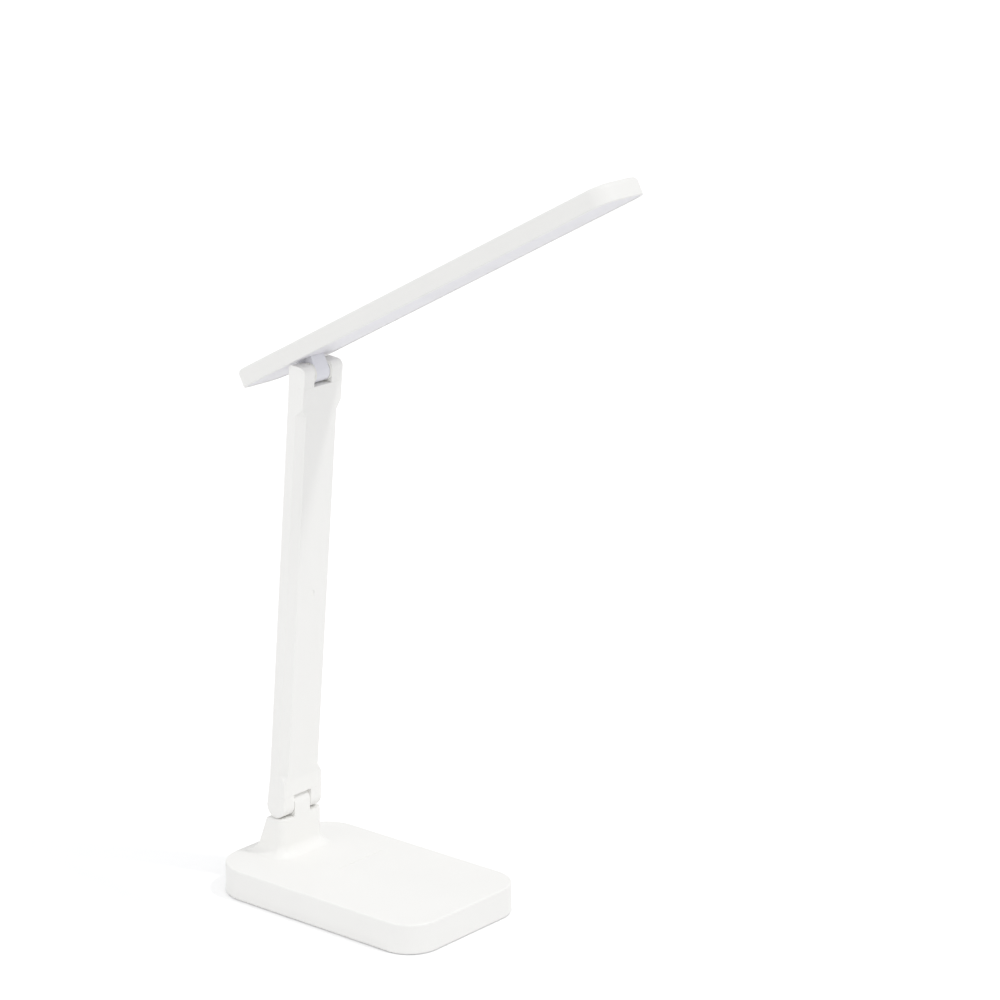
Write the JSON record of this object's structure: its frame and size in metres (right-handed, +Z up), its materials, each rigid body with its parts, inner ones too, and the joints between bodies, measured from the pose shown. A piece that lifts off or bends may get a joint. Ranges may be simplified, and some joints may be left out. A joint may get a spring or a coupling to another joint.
{
  "type": "folding led desk lamp",
  "caption": "Cordless folding LED desk lamp: flat base with a touch switch, hinged arm and a long slim light head that folds flat.",
  "frame": {"origin": "centre of the base's plan, on the surface that the lamp stands on", "axes": "+X from the arm's foot to the touch end of the base, the way the light head points; +Z up"},
  "size_m": [0.2201, 0.08, 0.3646],
  "materials": {
    "white_shell": "fine satin moulded white",
    "grey_shell": "satin moulded white in the hinge's shade",
    "milky_diffuser": "milky translucent, very fine matt grain",
    "pad_rubber": "soft grey, fine grain",
    "plated_steel": "zinc plated",
    "cell_foil": "laminated foil pouch",
    "foam_tape": "closed-cell foam",
    "wire_jacket": "soft insulation",
    "circuit_board": "green solder mask",
    "light_board": "white solder mask",
    "black_plastic": "moulded epoxy",
    "nylon": "natural nylon",
    "clear_plastic": "frosted clear rod",
    "copper": "bare copper foil",
    "lamp_cool": "pale yellow phosphor",
    "lamp_warm": "deep yellow phosphor"
  },
  "bodies": {
    "base": {"base_top_shell": "white_shell", "base_bottom_cover": "white_shell", "anti_slip_pad": "pad_rubber", "cover_screws": "plated_steel", "ballast_plate": "plated_steel", "battery_cell": "cell_foil", "battery_tape": "foam_tape", "battery_leads": "wire_jacket", "control_board": "circuit_board", "board_parts": "black_plastic", "wire_connectors": "nylon", "board_screws": "plated_steel", "usb_socket_shell": "plated_steel", "usb_contact_tongue": "black_plastic", "indicator_light_pipe": "clear_plastic", "touch_electrode": "copper", "touch_lead": "wire_jacket", "base_cable": "wire_jacket"},
    "arm": {"arm_rear_shell": "white_shell", "arm_front_cover": "white_shell", "arm_screw": "plated_steel", "arm_screw_plug": "white_shell", "arm_cable": "wire_jacket", "lower_hinge_bolt": "plated_steel", "lower_hinge_nut": "plated_steel", "upper_hinge_bolt": "plated_steel", "upper_hinge_nut": "plated_steel", "friction_washers": "nylon", "hinge_caps": "white_shell"},
    "head": {"head_top_shell": "white_shell", "diffuser_panel": "milky_diffuser", "hinge_bracket": "grey_shell", "bracket_screws": "plated_steel", "led_board": "light_board", "led_chips_cool": "lamp_cool", "led_chips_warm": "lamp_warm", "reflector_sheet": "nylon", "head_cable": "wire_jacket"}
  },
  "joints": [
    {"name": "arm_fold", "type": "hinge", "parent": "base", "child": "arm", "pos_m": [-0.0457, 0, 0.0395], "axis": [0, 1, 0], "range_deg": [-9.9, 85.1]},
    {"name": "head_tilt", "type": "hinge", "parent": "arm", "child": "head", "pos_m": [-0.02734, 0, 0.25371], "axis": [0, 1, 0], "range_deg": [-56.9, 123.1]}
  ]
}
